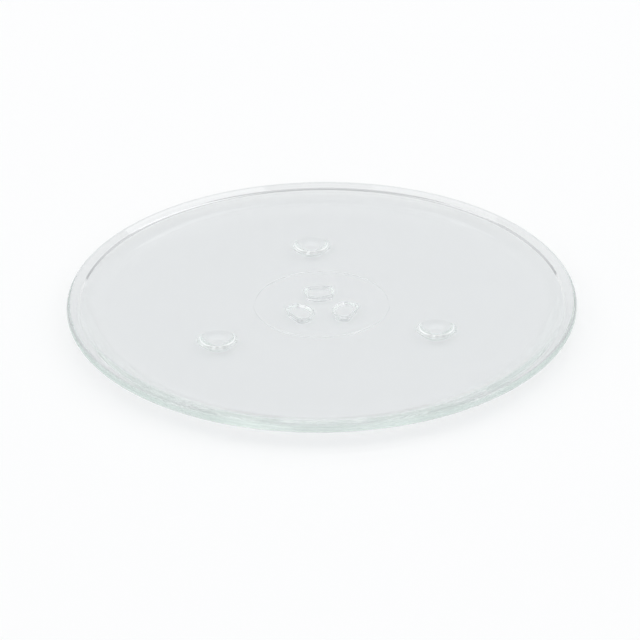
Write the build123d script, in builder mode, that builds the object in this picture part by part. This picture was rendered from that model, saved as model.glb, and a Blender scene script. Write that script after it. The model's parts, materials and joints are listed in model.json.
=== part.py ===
from build123d import *
import math
import os

# Turntable plate of a microwave oven, pressed in one piece from clear glass.
# Sizes are in millimetres. The origin is on the spin axis at the level of the feet, +Z is up.

# Dish and rim
plate_diameter = 245.0
floor_thickness = 4.5
rim_rise = 3.2  # top of the rounded edge above the dish floor
rim_nose_radius = 1.4  # middle of the rounded edge
rim_nose_bottom = -20.0  # angles where the nose meets its flanks
rim_nose_top = 30.0
rim_flank_radius = 1.75
lip_width = 5.5  # outer edge to the lip's inner corner
lip_slope = 17.0  # the lip falls towards the dish
step_run = 0.8  # the lip's inner corner to the crease at the foot of its step
wall_rise = 0.9  # the crease above the dish floor
dish_wall_radius = 36.0  # hollow curve from the dish floor to the crease
underside_slope = 21.0
heel_radius = 30.0

# Drive lugs, which stand between the arms of the oven's three-armed coupler
coupler_arm_width = 8.5
coupler_arm_clearance = 0.5  # on each side of an arm
lug_count = 3
lug_inner_radius = 7.0
lug_outer_radius = 17.5
lug_width = 14.5
lug_height = 4.0
lug_draft = 15.0
lug_corner_radius = 3.5
lug_tip_radius = 1.0

# Feet, which stand a little lower than the lugs
foot_count = 3
foot_circle_radius = 60.0
foot_diameter = 18.5
foot_tip_diameter = 6.0  # flat end of the dome
foot_height = 4.5

# Low ring pressed by the mould's valve
ring_radius = 32.5
ring_width = 1.2
ring_height = 0.1

# The first lug and the first foot lie on +Y
first_angle = 90.0

# Levels and radii of the section
underside_level = foot_height
floor_level = underside_level + floor_thickness
edge_radius = plate_diameter / 2
rim_top_reach = rim_flank_radius * (1 - math.sin(math.radians(rim_nose_top)))
rim_nose_reach = rim_nose_radius * math.sin(math.radians(rim_nose_top))
rim_level = floor_level + rim_rise - rim_top_reach - rim_nose_reach
lip_inner_radius = edge_radius - lip_width
crease_radius = lip_inner_radius - step_run
crease_level = floor_level + wall_rise
dish_flat_radius = crease_radius - math.sqrt(wall_rise * (2 * dish_wall_radius - wall_rise))

# The sphere through the base and the flat end of a foot
foot_base_radius = foot_diameter / 2
foot_tip_radius = foot_tip_diameter / 2
dome_level = (foot_base_radius**2 + foot_height**2 - foot_tip_radius**2) / (2 * foot_height)
dome_radius = math.hypot(foot_tip_radius, dome_level)
dome_tip_latitude = -math.degrees(math.asin(dome_level / dome_radius))
dome_base_latitude = math.degrees(math.asin((foot_height - dome_level) / dome_radius))

# The underside, seen from below, with its X axis along the plate's
underside = Plane((0, 0, underside_level), x_dir=(1, 0, 0), z_dir=(0, 0, -1))

# One drive lug, drawn on +X. Its two slanted sides face the coupler's arms.
arm_angle = 180 / lug_count
slot_width = coupler_arm_width + 2 * coupler_arm_clearance
slot_reach = 2 * lug_outer_radius
with BuildPart() as lug:
    with BuildSketch(underside):
        with Locations(((lug_inner_radius + lug_outer_radius) / 2, 0)):
            Rectangle(lug_outer_radius - lug_inner_radius, lug_width)
        with PolarLocations(slot_reach / 2, 2, -arm_angle, 2 * arm_angle, endpoint=True):
            Rectangle(slot_reach, slot_width, mode=Mode.SUBTRACT)
        offset(amount=-lug_corner_radius, kind=Kind.INTERSECTION, mode=Mode.REPLACE)
        offset(amount=lug_corner_radius, kind=Kind.ARC, mode=Mode.REPLACE)
    extrude(amount=lug_height, taper=lug_draft)
    fillet(lug.faces().sort_by(Axis.Z)[0].edges(), lug_tip_radius)

# The plate: its turned section, then the ring, the lugs and the feet under it
with BuildPart() as plate:
    with BuildSketch(Plane.XZ):
        with BuildLine():
            nose = CenterArc(
                (edge_radius - rim_nose_radius, rim_level),
                rim_nose_radius,
                start_angle=rim_nose_bottom,
                arc_size=rim_nose_top - rim_nose_bottom,
            )
            top_turn = 90 + lip_slope - rim_nose_top
            top_flank = JernArc(nose @ 1, nose % 1, rim_flank_radius, top_turn)
            bottom_turn = 90 - underside_slope + rim_nose_bottom
            bottom_flank = JernArc(nose @ 0, -(nose % 0), rim_flank_radius, -bottom_turn)

            lip_run = (top_flank @ 1).X - lip_inner_radius
            lip_fall = lip_run * math.tan(math.radians(lip_slope))
            lip = Line(top_flank @ 1, top_flank @ 1 - Vector(lip_run, lip_fall))
            step = Line(lip @ 1, (crease_radius, crease_level))
            dish = Line((dish_flat_radius, floor_level), (0, floor_level))
            TangentArc(dish @ 0, step @ 1, tangent=-(dish % 0))

            heel_rise = (bottom_flank @ 1).Y - underside_level
            heel_run = heel_rise / math.tan(math.radians(underside_slope))
            outside = FilletPolyline(
                bottom_flank @ 1,
                bottom_flank @ 1 - Vector(heel_run, heel_rise),
                (0, underside_level),
                radius=heel_radius,
            )
            Line(outside @ 1, dish @ 1)
        make_face()
    revolve(axis=Axis.Z)

    with BuildSketch(Plane.XZ):
        with BuildLine():
            Polyline(
                (ring_radius - ring_width / 2, underside_level),
                (ring_radius, underside_level - ring_height),
                (ring_radius + ring_width / 2, underside_level),
                close=True,
            )
        make_face()
    revolve(axis=Axis.Z)

    with PolarLocations(0, lug_count, start_angle=first_angle):
        add(lug.part)

    with PolarLocations(foot_circle_radius, foot_count, start_angle=first_angle):
        Sphere(
            dome_radius,
            dome_tip_latitude,
            dome_base_latitude,
            align=(Align.CENTER, Align.CENTER, Align.MIN),
        )

plate.part.label = "turntable_plate"

os.makedirs("parts", exist_ok=True)
export_step(plate.part, "parts/turntable_plate.step")
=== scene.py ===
import json
import math

import bpy
from mathutils import Matrix, Vector
from mathutils.geometry import tessellate_polygon


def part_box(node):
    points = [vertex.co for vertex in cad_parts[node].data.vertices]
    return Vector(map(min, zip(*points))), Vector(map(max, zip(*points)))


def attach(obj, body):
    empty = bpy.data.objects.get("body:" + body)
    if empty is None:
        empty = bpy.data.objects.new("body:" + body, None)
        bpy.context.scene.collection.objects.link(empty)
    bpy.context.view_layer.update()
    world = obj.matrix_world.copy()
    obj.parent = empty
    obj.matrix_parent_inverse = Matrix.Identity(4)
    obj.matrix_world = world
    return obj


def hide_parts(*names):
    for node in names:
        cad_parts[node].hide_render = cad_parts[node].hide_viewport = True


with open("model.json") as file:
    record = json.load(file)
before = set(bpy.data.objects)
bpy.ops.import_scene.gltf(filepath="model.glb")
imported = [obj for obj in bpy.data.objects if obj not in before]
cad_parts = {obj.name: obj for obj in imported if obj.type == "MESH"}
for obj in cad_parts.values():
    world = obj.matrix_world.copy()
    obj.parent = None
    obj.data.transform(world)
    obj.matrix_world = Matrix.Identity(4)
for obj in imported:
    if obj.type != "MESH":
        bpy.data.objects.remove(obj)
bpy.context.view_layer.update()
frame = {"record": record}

# A clear pressed-glass turntable plate on a white floor. Lengths are in metres and angles in degrees.

# Levels and radii that the frame gives
mounts = {mount["name"]: Vector(mount["pos_m"]) for mount in frame["record"]["mounts"]}
plate_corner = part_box("turntable_plate")[1]
EDGE_RADIUS = plate_corner.x
FOOT_LEVEL = mounts["foot_tip"].z
UNDERSIDE_LEVEL = mounts["roller_track"].z
FLOOR_LEVEL = mounts["dish_floor"].z
RIM_TOP_LEVEL = plate_corner.z
FOOT_CIRCLE_RADIUS = mounts["foot_tip"].xy.length

# Dish and rim
RIM_NOSE_RADIUS = 0.0014
RIM_NOSE_BOTTOM = -20
RIM_NOSE_TOP = 30
RIM_FLANK_RADIUS = 0.00175
LIP_WIDTH = 0.0055
LIP_SLOPE = 17
LIP_CORNER_RADIUS = 0.0005
STEP_RUN = 0.0008
CREASE_RADIUS = 0.0003
WALL_RISE = 0.0009
WALL_SLOPE = 12
DISH_WALL_RADIUS = 0.036
UNDERSIDE_SLOPE = 21
HEEL_RADIUS = 0.03

# Drive lugs, which stand between the arms of the oven's coupler
LUG_COUNT = 3
LUG_INNER_RADIUS = 0.007
LUG_OUTER_RADIUS = 0.0175
LUG_WIDTH = 0.0145
LUG_HEIGHT = 0.004
LUG_DRAFT = 15
LUG_CORNER_RADIUS = 0.0035
LUG_TIP_RADIUS = 0.001
LUG_ROOT_RADIUS = 0.0008
ARM_SLOT_WIDTH = 0.0095

# Domed feet
FOOT_COUNT = 3
FOOT_DIAMETER = 0.0185
FOOT_TIP_DIAMETER = 0.006
FOOT_TIP_RADIUS = 0.002
FOOT_ROOT_RADIUS = 0.001

# Low ring pressed by the mould's valve
RING_RADIUS = 0.0325
RING_WIDTH = 0.0012
RING_HEIGHT = 0.0001
RING_EDGE_RADIUS = 0.002

# The first lug and the first foot lie on +Y
FIRST_ANGLE = 90

# Fineness of the mesh
PLATE_SEGMENTS = 384
RING_SEGMENTS = 192
FOOT_SEGMENTS = 96
ARC_STEP = 6
ARC_LEAST_STEPS = 4

# Camera, as the photograph was taken
IMAGE_SIZE = 640
FOCAL_PIXELS = 2698
SENSOR_WIDTH = 36
CAMERA_DISTANCE = 1.3
CAMERA_AZIMUTH = -4.68
CAMERA_ELEVATION = 29.39
CAMERA_ROLL = -0.54
PLATE_CENTRE_PIXEL = (321.67, 300.14)

FLOOR_SIZE = 24
FLOOR_GAP = 0.00005

# Clear glass passes light many times between its faces
LIGHT_BOUNCES = 48

# Studio sky as pairs of height and grey. It is bluest at the horizon and neutral from SKY_COLD_TOP up.
# It turns into the back sky behind the plate, wholly where a direction's Y passes BACK_SKY_FULL.
FRONT_SKY = [(0, 0.38), (0.3, 0.43), (0.6, 0.6), (0.85, 0.7), (1, 0.6)]
BACK_SKY = [(0, 0.22), (0.2, 0.34), (0.45, 0.4), (0.68, 0.38), (0.85, 0.18), (1, 0.45)]
BACK_SKY_FULL = 0.45
SKY_STRENGTH = 2
SKY_COLD = 0.025
SKY_COLD_TOP = 0.8

# Mild softboxes behind the plate, which brighten two lengths of its lip
SOFTBOX_DISTANCE = 6
RIGHT_SOFTBOX = {"azimuth": 23, "elevation": 53, "width": 11, "height": 18, "level": 1.2}
LEFT_SOFTBOX = {"azimuth": -14, "elevation": 54, "width": 12, "height": 14, "level": 0.8}


def unit(angle):
    """The direction at an angle, in a plane."""
    return Vector((math.cos(math.radians(angle)), math.sin(math.radians(angle))))


def angle_of(direction):
    """The angle of a direction in a plane."""
    return math.degrees(math.atan2(direction[1], direction[0]))


def steps_between(start, stop):
    """Evenly spaced angles from start to stop."""
    count = max(ARC_LEAST_STEPS, math.ceil(abs(stop - start) / ARC_STEP))
    return [start + (stop - start) * i / count for i in range(count + 1)]


def tangent_of(angle):
    """The tangent of an angle."""
    return math.tan(math.radians(angle))


def arc(centre, radius, start, stop, hollow=False):
    """Points of a section's arc with the glass's outward normals.

    A hollow arc has its centre in the air.
    """
    side = -1 if hollow else 1
    directions = [unit(angle) for angle in steps_between(start, stop)]
    return [(Vector(centre) + radius * direction, side * direction) for direction in directions]


def rounded(corners):
    """A section along (point, radius) corners, with the glass on its right.

    The two end corners only lead in and out.
    """
    section = []
    for (before, _), (corner, radius), (after, _) in zip(corners, corners[1:], corners[2:]):
        heading = (Vector(corner) - Vector(before)).normalized()
        turn = angle_of(Vector(after) - Vector(corner)) - angle_of(heading)
        turn = (turn + 180) % 360 - 180
        hollow = turn > 0
        start = angle_of(heading) + (270 if hollow else 90)
        touch = Vector(corner) - heading * radius * tangent_of(abs(turn) / 2)
        section += arc(touch - radius * unit(start), radius, start, start + turn, hollow)
    return section


def circle_outline(centre, segments):
    """A closed outline as (core point, outward direction) pairs, here about one core point."""
    return [(Vector(centre), unit(360 * i / segments)) for i in range(segments)]


def polygon_outline(sides, radius):
    """The outline of a polygon with rounded corners.

    Each side is the angle of its normal and its distance from the origin.
    """
    outline = []
    for (angle, distance), (next_angle, next_distance) in zip(sides, sides[1:] + sides[:1]):
        turn = Matrix((unit(angle), unit(next_angle)))
        core = turn.inverted() @ Vector((distance - radius, next_distance - radius))
        if next_angle < angle:
            next_angle += 360
        outline += [(core, unit(a)) for a in steps_between(angle, next_angle)]
    return outline


def rotated(outline, angle):
    """An outline turned about the origin."""
    turn = Matrix.Rotation(math.radians(angle), 2)
    return [(turn @ core, turn @ direction) for core, direction in outline]


class GlassSkin:
    """A smooth closed skin, with the true normal of the glass at every vertex."""

    def __init__(self):
        self.points = []
        self.normals = []
        self.faces = []

    def add_loop(self, outline, point, normal):
        """One level loop of the outline, at a section's point."""
        first = len(self.points)
        for core, direction in outline:
            place = core + direction * point[0]
            lean = direction * normal[0]
            self.points.append(Vector((place.x, place.y, point[1])))
            self.normals.append(Vector((lean.x, lean.y, normal[1])))
        return list(range(first, len(self.points)))

    def add_face(self, corners):
        """A face that looks the way its corners' normals do."""
        a, b, c = (self.points[corner] for corner in corners[:3])
        outward = sum((self.normals[corner] for corner in corners), Vector())
        if (b - a).cross(c - a).dot(outward) < 0:
            corners = corners[::-1]
        self.faces.append(tuple(corners))

    def sweep(self, outline, section):
        """Carries a section round an outline, and returns the first and the last loop."""
        loops = [self.add_loop(outline, point, normal) for point, normal in section]
        for here, there in zip(loops, loops[1:]):
            for i in range(len(here)):
                j = (i + 1) % len(here)
                self.add_face((here[i], here[j], there[j], there[i]))
        return loops[0], loops[-1]

    def fill(self, rim, holes=()):
        """A level face inside a rim loop, open at the hole loops."""
        loops = [rim, *holes]
        corners = [corner for loop in loops for corner in loop]
        for triangle in tessellate_polygon([[self.points[i] for i in loop] for loop in loops]):
            self.add_face([corners[i] for i in triangle])

    def build(self, name):
        """The skin as a Blender object."""
        mesh = bpy.data.meshes.new(name)
        mesh.from_pydata(self.points, [], self.faces)
        mesh.shade_smooth()
        mesh.normals_split_custom_set_from_vertices(self.normals)
        piece = bpy.data.objects.new(name, mesh)
        bpy.context.scene.collection.objects.link(piece)
        return piece


def plate_section():
    """The plate's section from the dish floor over the rim to the underside."""
    nose_slack = RIM_FLANK_RADIUS - RIM_NOSE_RADIUS
    rim_level = RIM_TOP_LEVEL - RIM_FLANK_RADIUS + nose_slack * unit(RIM_NOSE_TOP).y
    nose_centre = Vector((EDGE_RADIUS - RIM_NOSE_RADIUS, rim_level))
    top_centre = nose_centre - nose_slack * unit(RIM_NOSE_TOP)
    bottom_centre = nose_centre - nose_slack * unit(RIM_NOSE_BOTTOM)
    top_angle, bottom_angle = 90 + LIP_SLOPE, UNDERSIDE_SLOPE - 90
    lip_end = top_centre + RIM_FLANK_RADIUS * unit(top_angle)
    heel_start = bottom_centre + RIM_FLANK_RADIUS * unit(bottom_angle)

    lip_radius = EDGE_RADIUS - LIP_WIDTH
    lip_level = lip_end.y - (lip_end.x - lip_radius) * tangent_of(LIP_SLOPE)
    crease_radius = lip_radius - STEP_RUN
    wall_radius = crease_radius - WALL_RISE / tangent_of(WALL_SLOPE)
    inside = rounded([
        ((0, FLOOR_LEVEL), 0),
        ((wall_radius, FLOOR_LEVEL), DISH_WALL_RADIUS),
        ((crease_radius, FLOOR_LEVEL + WALL_RISE), CREASE_RADIUS),
        ((lip_radius, lip_level), LIP_CORNER_RADIUS),
        (lip_end, 0),
    ])
    edge = [
        *arc(top_centre, RIM_FLANK_RADIUS, top_angle, RIM_NOSE_TOP),
        *arc(nose_centre, RIM_NOSE_RADIUS, RIM_NOSE_TOP, RIM_NOSE_BOTTOM),
        *arc(bottom_centre, RIM_FLANK_RADIUS, RIM_NOSE_BOTTOM, bottom_angle),
    ]
    heel_radius = heel_start.x - (heel_start.y - UNDERSIDE_LEVEL) / tangent_of(UNDERSIDE_SLOPE)
    outside = rounded([
        (heel_start, 0),
        ((heel_radius, UNDERSIDE_LEVEL), HEEL_RADIUS),
        ((0, UNDERSIDE_LEVEL), 0),
    ])
    return [*inside, *edge, *outside]


def ring_section():
    """The low ring's section, from its outer foot over its crest to its inner foot."""
    return rounded([
        ((EDGE_RADIUS, UNDERSIDE_LEVEL), 0),
        ((RING_RADIUS + RING_WIDTH / 2, UNDERSIDE_LEVEL), RING_EDGE_RADIUS),
        ((RING_RADIUS, UNDERSIDE_LEVEL - RING_HEIGHT), RING_EDGE_RADIUS),
        ((RING_RADIUS - RING_WIDTH / 2, UNDERSIDE_LEVEL), RING_EDGE_RADIUS),
        ((0, UNDERSIDE_LEVEL), 0),
    ])


def lug_section():
    """A lug's side, from the underside to its flat end, measured from the core of its outline."""
    tip_reach = LUG_CORNER_RADIUS - LUG_HEIGHT * tangent_of(LUG_DRAFT)
    tip_level = UNDERSIDE_LEVEL - LUG_HEIGHT
    return rounded([
        ((EDGE_RADIUS, UNDERSIDE_LEVEL), 0),
        ((LUG_CORNER_RADIUS, UNDERSIDE_LEVEL), LUG_ROOT_RADIUS),
        ((tip_reach, tip_level), LUG_TIP_RADIUS),
        ((-EDGE_RADIUS, tip_level), 0),
    ])


def foot_section():
    """A foot's dome, from the underside to its flat end."""
    height = UNDERSIDE_LEVEL - FOOT_LEVEL
    base, tip = FOOT_DIAMETER / 2, FOOT_TIP_DIAMETER / 2
    dome_rise = (base**2 + height**2 - tip**2) / (2 * height)
    dome_radius = math.hypot(tip, dome_rise)
    dome_centre = Vector((0, FOOT_LEVEL + dome_rise))

    root_level = UNDERSIDE_LEVEL - FOOT_ROOT_RADIUS
    root_reach = math.sqrt((dome_radius + FOOT_ROOT_RADIUS) ** 2 - (root_level - dome_centre.y) ** 2)
    root_centre = Vector((root_reach, root_level))
    tip_level = FOOT_LEVEL + FOOT_TIP_RADIUS
    tip_reach = math.sqrt((dome_radius - FOOT_TIP_RADIUS) ** 2 - (tip_level - dome_centre.y) ** 2)
    tip_centre = Vector((tip_reach, tip_level))

    dome_start = angle_of(root_centre - dome_centre)
    dome_stop = angle_of(tip_centre - dome_centre)
    return [
        *arc(root_centre, FOOT_ROOT_RADIUS, 90, dome_start + 180, hollow=True),
        *arc(dome_centre, dome_radius, dome_start, dome_stop),
        *arc(tip_centre, FOOT_TIP_RADIUS, dome_stop, -90),
    ]


def lug_outline():
    """The outline of a lug on +X. Its slanted sides lie along the coupler's arms."""
    arm_angle = 180 / LUG_COUNT
    half_width, half_slot = LUG_WIDTH / 2, ARM_SLOT_WIDTH / 2
    sides = [
        (0, LUG_OUTER_RADIUS),
        (90, half_width),
        (90 + arm_angle, -half_slot),
        (180, -LUG_INNER_RADIUS),
        (270 - arm_angle, -half_slot),
        (270, half_width),
    ]
    return polygon_outline(sides, LUG_CORNER_RADIUS)


def make_plate():
    """The whole plate as one skin of glass."""
    skin = GlassSkin()
    dish_rim, heel = skin.sweep(circle_outline((0, 0), PLATE_SEGMENTS), plate_section())
    skin.fill(dish_rim)
    ring_outside, ring_inside = skin.sweep(circle_outline((0, 0), RING_SEGMENTS), ring_section())

    foot_roots = []
    for i in range(FOOT_COUNT):
        centre = FOOT_CIRCLE_RADIUS * unit(FIRST_ANGLE + 360 * i / FOOT_COUNT)
        root, tip = skin.sweep(circle_outline(centre, FOOT_SEGMENTS), foot_section())
        skin.fill(tip)
        foot_roots.append(root)

    lug_roots = []
    for i in range(LUG_COUNT):
        outline = rotated(lug_outline(), FIRST_ANGLE + 360 * i / LUG_COUNT)
        root, tip = skin.sweep(outline, lug_section())
        skin.fill(tip)
        lug_roots.append(root)

    skin.fill(heel, [ring_outside, *foot_roots])
    skin.fill(ring_inside, lug_roots)
    return skin.build("glass_plate")


def new_material(name):
    """A material with an empty node tree, and that tree's nodes and links."""
    material = bpy.data.materials.new(name)
    material.use_nodes = True
    tree = material.node_tree
    tree.nodes.clear()
    return material, tree.nodes, tree.links


def glass_material():
    """Clear pressed glass: slightly wavy, fire polished, pale green through its depth."""
    material, nodes, links = new_material("clear_glass")
    output = nodes.new("ShaderNodeOutputMaterial")
    shader = nodes.new("ShaderNodeBsdfPrincipled")
    shader.inputs["Base Color"].default_value = (0.892, 0.902, 0.907, 1)
    shader.inputs["Transmission Weight"].default_value = 1
    shader.inputs["IOR"].default_value = 1.52
    links.new(shader.outputs["BSDF"], output.inputs["Surface"])

    coordinates = nodes.new("ShaderNodeTexCoord")
    polish = nodes.new("ShaderNodeTexNoise")
    polish.inputs["Scale"].default_value = 60
    polish.inputs["Detail"].default_value = 2
    links.new(coordinates.outputs["Object"], polish.inputs["Vector"])
    roughness = nodes.new("ShaderNodeMapRange")
    roughness.inputs["To Min"].default_value = 0.0
    roughness.inputs["To Max"].default_value = 0.03
    links.new(polish.outputs["Fac"], roughness.inputs["Value"])
    links.new(roughness.outputs["Result"], shader.inputs["Roughness"])

    waves = nodes.new("ShaderNodeTexNoise")
    waves.inputs["Scale"].default_value = 35
    waves.inputs["Detail"].default_value = 1
    links.new(coordinates.outputs["Object"], waves.inputs["Vector"])
    bump = nodes.new("ShaderNodeBump")
    bump.inputs["Strength"].default_value = 1
    bump.inputs["Distance"].default_value = 0.00004
    links.new(waves.outputs["Fac"], bump.inputs["Height"])
    links.new(bump.outputs["Normal"], shader.inputs["Normal"])

    depth = nodes.new("ShaderNodeVolumeAbsorption")
    depth.inputs["Color"].default_value = (0.6, 0.9, 0.75, 1)
    depth.inputs["Density"].default_value = 1
    links.new(depth.outputs["Volume"], output.inputs["Volume"])
    return material


def make_floor():
    """A pale floor that hides nothing when it is looked at from below."""
    half, level = FLOOR_SIZE / 2, FOOT_LEVEL - FLOOR_GAP
    corners = [(-half, -half, level), (half, -half, level), (half, half, level), (-half, half, level)]
    mesh = bpy.data.meshes.new("floor")
    mesh.from_pydata(corners, [], [(0, 1, 2, 3)])
    floor = bpy.data.objects.new("floor", mesh)
    bpy.context.scene.collection.objects.link(floor)

    material, nodes, links = new_material("floor")
    output = nodes.new("ShaderNodeOutputMaterial")
    paint = nodes.new("ShaderNodeBsdfDiffuse")
    paint.inputs["Color"].default_value = (0.95, 0.95, 0.95, 1)
    clear = nodes.new("ShaderNodeBsdfTransparent")
    geometry = nodes.new("ShaderNodeNewGeometry")
    mix = nodes.new("ShaderNodeMixShader")
    links.new(geometry.outputs["Backfacing"], mix.inputs["Fac"])
    links.new(paint.outputs["BSDF"], mix.inputs[1])
    links.new(clear.outputs["BSDF"], mix.inputs[2])
    links.new(mix.outputs["Shader"], output.inputs["Surface"])
    mesh.materials.append(material)


def make_world():
    """A studio dome with a bright ceiling and dimmer walls, and dim overhead behind the plate."""
    world = bpy.data.worlds.new("studio")
    bpy.context.scene.world = world
    world.use_nodes = True
    nodes, links = world.node_tree.nodes, world.node_tree.links
    nodes.clear()
    output = nodes.new("ShaderNodeOutputWorld")
    coordinates = nodes.new("ShaderNodeTexCoord")
    split = nodes.new("ShaderNodeSeparateXYZ")
    back = nodes.new("ShaderNodeMapRange")
    back.interpolation_type = "SMOOTHSTEP"
    back.inputs["From Max"].default_value = BACK_SKY_FULL
    mix = nodes.new("ShaderNodeMixShader")
    links.new(coordinates.outputs["Generated"], split.inputs["Vector"])
    links.new(split.outputs["Y"], back.inputs["Value"])
    links.new(back.outputs["Result"], mix.inputs["Fac"])
    links.new(mix.outputs["Shader"], output.inputs["Surface"])

    for socket, levels in ((mix.inputs[1], FRONT_SKY), (mix.inputs[2], BACK_SKY)):
        ramp = nodes.new("ShaderNodeValToRGB")
        ramp.color_ramp.interpolation = "EASE"
        stops = ramp.color_ramp.elements
        for i, (height, grey) in enumerate(levels):
            cold = SKY_COLD * max(0, 1 - height / SKY_COLD_TOP)
            stop = stops[i] if i < 2 else stops.new(height)
            stop.position = height
            stop.color = (grey * (1 - cold), grey, grey * (1 + cold), 1)
        background = nodes.new("ShaderNodeBackground")
        background.inputs["Strength"].default_value = SKY_STRENGTH
        links.new(split.outputs["Z"], ramp.inputs["Fac"])
        links.new(ramp.outputs["Color"], background.inputs["Color"])
        links.new(background.outputs["Background"], socket)


def make_softbox(name, azimuth, elevation, width, height, level):
    """A lamp that faces the plate. Azimuth 0 is behind the plate and 90 is at its right."""
    across, rise = unit(90 - azimuth), unit(elevation)
    direction = Vector((across.x * rise.x, across.y * rise.x, rise.y))
    data = bpy.data.lights.new(name, "AREA")
    data.shape = "RECTANGLE"
    data.size = 2 * SOFTBOX_DISTANCE * tangent_of(width / 2)
    data.size_y = 2 * SOFTBOX_DISTANCE * tangent_of(height / 2)
    data.energy = level * math.pi * data.size * data.size_y
    lamp = bpy.data.objects.new(name, data)
    facing = direction.to_track_quat("Z", "Y").to_matrix().to_4x4()
    lamp.matrix_world = Matrix.Translation(SOFTBOX_DISTANCE * direction) @ facing
    bpy.context.scene.collection.objects.link(lamp)


def make_camera():
    """A long lens that looks down on the plate, as in the photograph."""
    azimuth, elevation = math.radians(CAMERA_AZIMUTH), math.radians(CAMERA_ELEVATION)
    level = math.cos(elevation)
    back = Vector((math.sin(azimuth) * level, -math.cos(azimuth) * level, math.sin(elevation)))
    right = Vector((math.cos(azimuth), math.sin(azimuth), 0))
    roll = Matrix.Rotation(math.radians(CAMERA_ROLL), 3, back)
    right = roll @ right
    up = back.cross(right)

    per_pixel = CAMERA_DISTANCE / FOCAL_PIXELS
    across = (PLATE_CENTRE_PIXEL[0] - IMAGE_SIZE / 2) * per_pixel
    above = (IMAGE_SIZE / 2 - PLATE_CENTRE_PIXEL[1]) * per_pixel
    eye = mounts["dish_floor"] + CAMERA_DISTANCE * back - across * right - above * up

    data = bpy.data.cameras.new("camera")
    data.sensor_width = SENSOR_WIDTH
    data.lens = FOCAL_PIXELS / IMAGE_SIZE * SENSOR_WIDTH
    data.clip_end = FLOOR_SIZE
    camera = bpy.data.objects.new("camera", data)
    camera.matrix_world = Matrix.Translation(eye) @ Matrix((right, up, back)).transposed().to_4x4()
    bpy.context.scene.collection.objects.link(camera)
    bpy.context.scene.camera = camera


plate = make_plate()
plate.data.materials.append(glass_material())
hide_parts("turntable_plate")
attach(plate, "root")

make_floor()
make_world()
make_softbox("right_softbox", **RIGHT_SOFTBOX)
make_softbox("left_softbox", **LEFT_SOFTBOX)
make_camera()
bpy.context.scene.view_settings.view_transform = "Standard"

cycles = bpy.context.scene.cycles
cycles.max_bounces = LIGHT_BOUNCES
cycles.glossy_bounces = LIGHT_BOUNCES
cycles.transmission_bounces = LIGHT_BOUNCES
cycles.blur_glossy = 0
